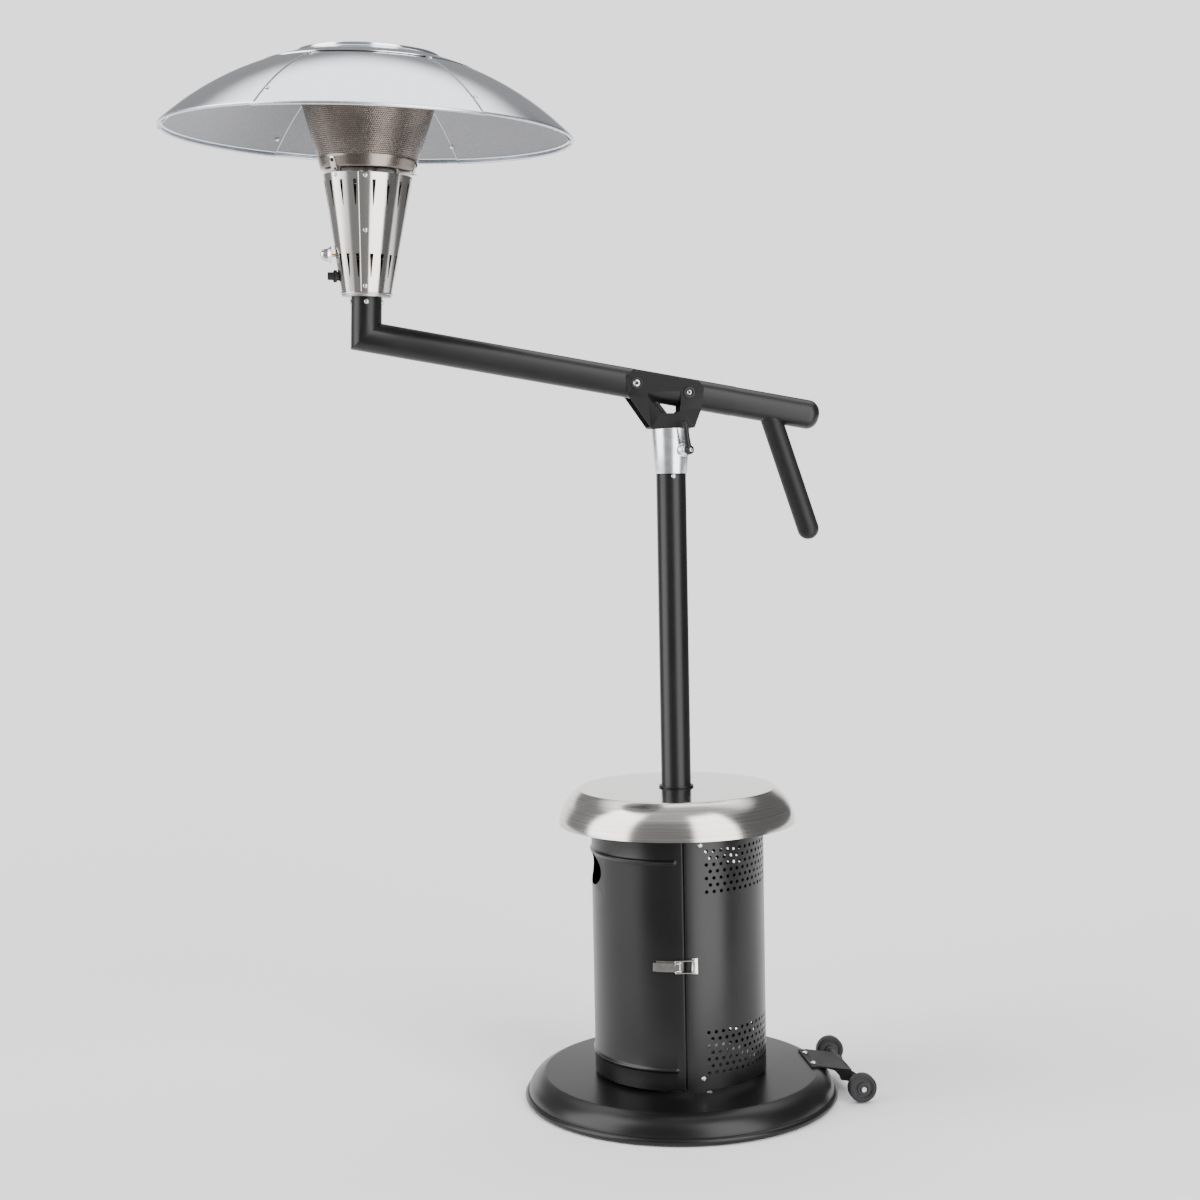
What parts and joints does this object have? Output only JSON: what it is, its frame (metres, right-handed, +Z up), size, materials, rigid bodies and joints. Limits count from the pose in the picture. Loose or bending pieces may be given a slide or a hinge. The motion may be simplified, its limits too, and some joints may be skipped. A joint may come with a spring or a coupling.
{
  "type": "offset propane patio heater",
  "caption": "Offset gas patio heater: round wheeled base, gas housing with door, steel table, post and a swivelling arm that carries a conical burner under a wide dome reflector.",
  "frame": {"origin": "on the floor, under the middle of the round base, on the post's axis", "axes": "+Z up the post; -X towards the burner head at rest; +X towards the transport wheels; the door opens towards -X"},
  "size_m": [1.3855, 0.8118, 2.1449],
  "materials": {
    "base_black": "gloss",
    "ballast_iron": "rough",
    "frame_steel": "satin",
    "table_steel": "brushed",
    "tube_black": "satin",
    "housing_black": "satin",
    "bracket_black": "textured",
    "zinc": "zinc plated",
    "latch_steel": "polished",
    "collar_alloy": "satin",
    "black_plastic": "moulded",
    "bush_plastic": "moulded",
    "hose_rubber": "matte",
    "grip_foam": "matte",
    "brass": "machined",
    "knob_chrome": "polished",
    "cone_stainless": "polished",
    "mesh_steel": "heat tinted",
    "burner_steel": "satin",
    "dome_aluminium": "bright",
    "wheel_black": "satin"
  },
  "bodies": {
    "stand": {"base_cover": "base_black", "ballast": "ballast_iron", "legs": "frame_steel", "top_plate": "frame_steel", "table": "table_steel", "post_collar": "tube_black", "post": "tube_black", "post_bolts": "zinc", "rear_panel": "housing_black", "panel_screws": "zinc", "fixed_leaves": "housing_black", "hinge_pins": "zinc", "latch_keeper": "latch_steel", "inlet_plug": "brass", "regulator": "collar_alloy", "post_hose": "hose_rubber", "bushes": "bush_plastic", "stop_screws": "zinc", "wheel_bracket": "base_black", "bracket_screws": "zinc", "axle": "zinc"},
    "door": {"door": "housing_black", "door_leaves": "housing_black", "latch_base": "latch_steel"},
    "latch_lever": {"latch_lever": "latch_steel"},
    "latch_bail": {"latch_bail": "latch_steel"},
    "arm": {"collar": "collar_alloy", "bracket": "bracket_black", "arm_bolts": "zinc", "arm_tube": "tube_black", "grommet": "hose_rubber", "sleeve": "tube_black", "counterweight": "frame_steel", "handle_stud": "zinc", "handle_grip": "grip_foam", "arm_hose": "hose_rubber", "burner_base": "burner_steel", "head_screws": "zinc", "cone": "cone_stainless", "valve": "brass", "igniter_body": "black_plastic", "mixer_tube": "burner_steel", "burner_plate": "burner_steel", "burner": "burner_steel", "pilot_set": "burner_steel", "emitter": "mesh_steel", "emitter_tabs": "cone_stainless", "emitter_lid": "burner_steel", "dome_hub": "dome_aluminium", "under_petals": "dome_aluminium", "over_petals": "dome_aluminium", "dome_cap": "dome_aluminium", "dome_stud": "zinc"},
    "clamp_lever": {"clamp_lever": "black_plastic"},
    "knob": {"knob": "knob_chrome"},
    "igniter_button": {"igniter_button": "black_plastic"},
    "near_wheel": {"near_wheel": "wheel_black"},
    "far_wheel": {"far_wheel": "wheel_black"}
  },
  "joints": [
    {"name": "arm_swivel", "type": "hinge", "parent": "stand", "child": "arm", "pos_m": [0, 0, 1.338], "axis": [0, 0, 1], "range_deg": [-170, 170]},
    {"name": "door_hinge", "type": "hinge", "parent": "stand", "child": "door", "pos_m": [-0.01924, 0.18199, 0.315], "axis": [0, 0, -1], "range_deg": [0, 115]},
    {"name": "latch_lever_pivot", "type": "hinge", "parent": "door", "child": "latch_lever", "pos_m": [-0.03018, -0.18083, 0.3137], "axis": [0, 0, 1], "range_deg": [0, 150]},
    {"name": "latch_bail_pivot", "type": "hinge", "parent": "latch_lever", "child": "latch_bail", "pos_m": [-0.03929, -0.18138, 0.3137], "axis": [0, 0, 1], "range_deg": [-150, 0]},
    {"name": "clamp_turn", "type": "hinge", "parent": "arm", "child": "clamp_lever", "pos_m": [0.0265, -0.0424, 1.338], "axis": [0.5299, -0.848, 0], "range_deg": [0, 120]},
    {"name": "knob_turn", "type": "hinge", "parent": "arm", "child": "knob", "pos_m": [-0.68644, -0.00827, 1.73491], "axis": [-0.9994, 0, 0.0349], "range_deg": [0, 180]},
    {"name": "igniter_press", "type": "slide", "parent": "arm", "child": "igniter_button", "axis": [0.9994, 0, -0.0349], "range_m": [0, 0.005], "stiffness_N_per_m": 300, "springref_m": -0.002},
    {"name": "near_wheel_spin", "type": "hinge", "parent": "stand", "child": "near_wheel", "pos_m": [0.352, -0.131, 0.032], "axis": [0, 1, 0], "continuous": true},
    {"name": "far_wheel_spin", "type": "hinge", "parent": "stand", "child": "far_wheel", "pos_m": [0.352, 0.131, 0.032], "axis": [0, 1, 0], "continuous": true}
  ],
  "couplings": [
    {"joint": "latch_bail_pivot", "follows": "latch_lever_pivot", "ratio": -1}
  ]
}
